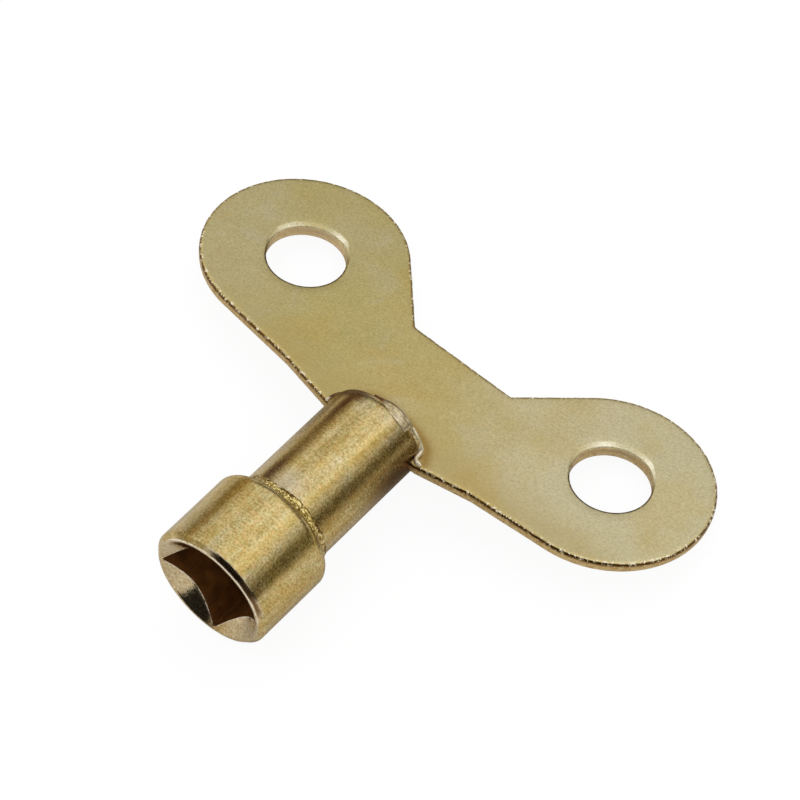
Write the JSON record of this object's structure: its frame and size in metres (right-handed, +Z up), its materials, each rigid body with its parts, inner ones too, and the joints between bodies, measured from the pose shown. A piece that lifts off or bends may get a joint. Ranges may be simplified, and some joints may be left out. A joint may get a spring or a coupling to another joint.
{
  "type": "radiator bleed key",
  "caption": "Short-barrelled butterfly key with a square socket: a pierced finger plate brazed across the end of a round shank, for turning square vent and valve spindles.",
  "frame": {"origin": "centre of the square socket's mouth, on the barrel's axis", "axes": "+Y along the barrel from the mouth to the handle plate, +X along the plate's wings, +Z up, out of the plate's rolled-edge side"},
  "size_m": [0.0584, 0.0453, 0.0128],
  "materials": {
    "plate_brass": "satin, dull pale brass colour; brass is assumed from the colour, and plated steel isn't ruled out",
    "barrel_brass": "satin, fine-speckled brass",
    "head_brass": "satin, turned brass",
    "braze": "rough, granular yellow filler metal"
  },
  "bodies": {
    "root": {"handle_plate": "plate_brass", "shank_tube": "barrel_brass", "socket_head": "head_brass", "head_braze_ring": "braze", "plate_braze_upper": "braze", "plate_braze_lower": "braze"}
  },
  "joints": []
}
